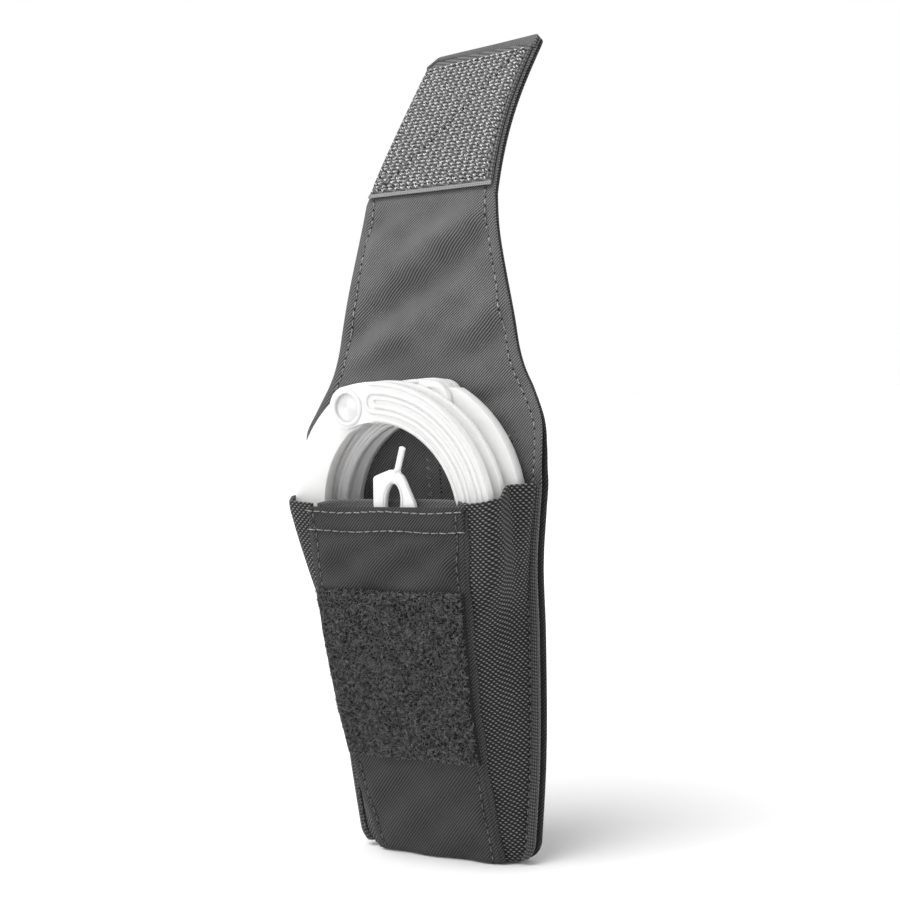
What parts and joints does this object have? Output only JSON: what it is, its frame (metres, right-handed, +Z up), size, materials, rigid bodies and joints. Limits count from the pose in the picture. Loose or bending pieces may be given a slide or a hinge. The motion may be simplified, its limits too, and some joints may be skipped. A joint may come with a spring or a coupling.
{
  "type": "restraint cuff pouch with raised flap",
  "caption": "Fabric belt pouch with elastic sides and a raised hook-and-loop flap, holding a folded pair of polymer restraint cuffs and their key.",
  "frame": {"origin": "centre of the belt channel behind the pouch", "axes": "+X to the viewer's right when facing the pouch, +Y back towards the wearer, +Z up"},
  "size_m": [0.087, 0.0629, 0.2462],
  "materials": {
    "shell_fabric": "woven nylon, matt",
    "lining_fabric": "twill nylon, slight sheen",
    "elastic_webbing": "coarse woven elastic",
    "loop_pile": "brushed loop pile",
    "hook_tape": "woven tape with moulded hooks",
    "binding_tape": "narrow woven tape",
    "stiffener_plastic": "plain sheet",
    "white_polymer": "satin moulded",
    "rivet_polymer": "satin moulded, fine turned face",
    "key_polymer": "satin moulded",
    "pin_steel": "plain ground",
    "snap_metal": "dull black"
  },
  "bodies": {
    "pouch": {"back_lining": "lining_fabric", "back_stiffener": "stiffener_plastic", "back_shell": "shell_fabric", "edge_binding_left": "binding_tape", "edge_binding_right": "binding_tape", "front_panel": "shell_fabric", "loop_patch": "loop_pile", "key_pocket_backing": "lining_fabric", "bottom_panel": "shell_fabric", "gusset_left": "elastic_webbing", "gusset_right": "elastic_webbing", "belt_loop_top_seam": "shell_fabric", "snap_stud_left": "snap_metal", "snap_stud_right": "snap_metal"},
    "belt_loop": {"belt_loop_strap": "binding_tape", "belt_loop_cover": "shell_fabric", "snap_cap_left": "snap_metal", "snap_cap_right": "snap_metal"},
    "flap_lower": {"flap_lower_lining": "lining_fabric", "flap_lower_shell": "shell_fabric"},
    "flap_middle": {"flap_middle_lining": "lining_fabric", "flap_middle_shell": "shell_fabric"},
    "flap_tip": {"flap_tip_lining": "lining_fabric", "flap_tip_shell": "shell_fabric", "hook_patch": "hook_tape"},
    "cuffs": {"front_cuff_front_cheek": "white_polymer", "front_cuff_back_cheek": "white_polymer", "front_cuff_lock_frame": "white_polymer", "front_cuff_rivet": "rivet_polymer", "front_cuff_pawl_pin": "pin_steel", "rear_cuff_front_cheek": "white_polymer", "rear_cuff_back_cheek": "white_polymer", "rear_cuff_lock_frame": "white_polymer", "rear_cuff_rivet": "rivet_polymer", "rear_cuff_pawl_pin": "pin_steel", "hinge_leaf": "white_polymer", "front_hinge_pin": "pin_steel", "rear_hinge_pin": "pin_steel"},
    "front_strand": {"front_cuff_strand": "white_polymer"},
    "rear_strand": {"rear_cuff_strand": "white_polymer"},
    "front_pawl": {"front_cuff_pawl": "pin_steel"},
    "rear_pawl": {"rear_cuff_pawl": "pin_steel"},
    "key": {"key": "key_polymer"}
  },
  "joints": [
    {"name": "flap_fold", "type": "hinge", "parent": "pouch", "child": "flap_lower", "pos_m": [0, -0.0068, 0.068], "axis": [1, 0, 0], "range_deg": [-25, 93]},
    {"name": "flap_middle_fold", "type": "hinge", "parent": "flap_lower", "child": "flap_middle", "pos_m": [0, -0.0044, 0.09539], "axis": [1, 0, 0], "range_deg": [-25, 93]},
    {"name": "flap_tip_fold", "type": "hinge", "parent": "flap_middle", "child": "flap_tip", "pos_m": [0, -0.00013, 0.11962], "axis": [1, 0, 0], "range_deg": [-6, 21]},
    {"name": "belt_loop_open", "type": "hinge", "parent": "pouch", "child": "belt_loop", "pos_m": [0, 0.0057, 0.033], "axis": [1, 0, 0], "range_deg": [0, 120]},
    {"name": "cuffs_insert", "type": "slide", "parent": "pouch", "child": "cuffs", "axis": [0, 0, -1], "range_m": [-0.13, 0]},
    {"name": "front_strand_close", "type": "hinge", "parent": "cuffs", "child": "front_strand", "pos_m": [-0.01515, -0.02165, 0.0585], "axis": [0, -1, 0], "range_deg": [0, 10]},
    {"name": "rear_strand_close", "type": "hinge", "parent": "cuffs", "child": "rear_strand", "pos_m": [0.0089, -0.01255, 0.0591], "axis": [0, 1, 0], "range_deg": [0, 10]},
    {"name": "front_pawl_release", "type": "hinge", "parent": "cuffs", "child": "front_pawl", "pos_m": [0.00707, -0.02165, -0.01198], "axis": [0, -1, 0], "range_deg": [0, 3.5], "stiffness_Nm_per_rad": 0.02, "springref_deg": -2.86},
    {"name": "rear_pawl_release", "type": "hinge", "parent": "cuffs", "child": "rear_pawl", "pos_m": [-0.00885, -0.01255, -0.01264], "axis": [0, 1, 0], "range_deg": [0, 3.5], "stiffness_Nm_per_rad": 0.02, "springref_deg": -2.86},
    {"name": "key_insert", "type": "slide", "parent": "pouch", "child": "key", "axis": [0, 0, -1], "range_m": [-0.06, 0]}
  ],
  "couplings": [
    {"joint": "flap_middle_fold", "follows": "flap_fold", "ratio": 1},
    {"joint": "flap_tip_fold", "follows": "flap_fold", "ratio": 0.2137}
  ]
}
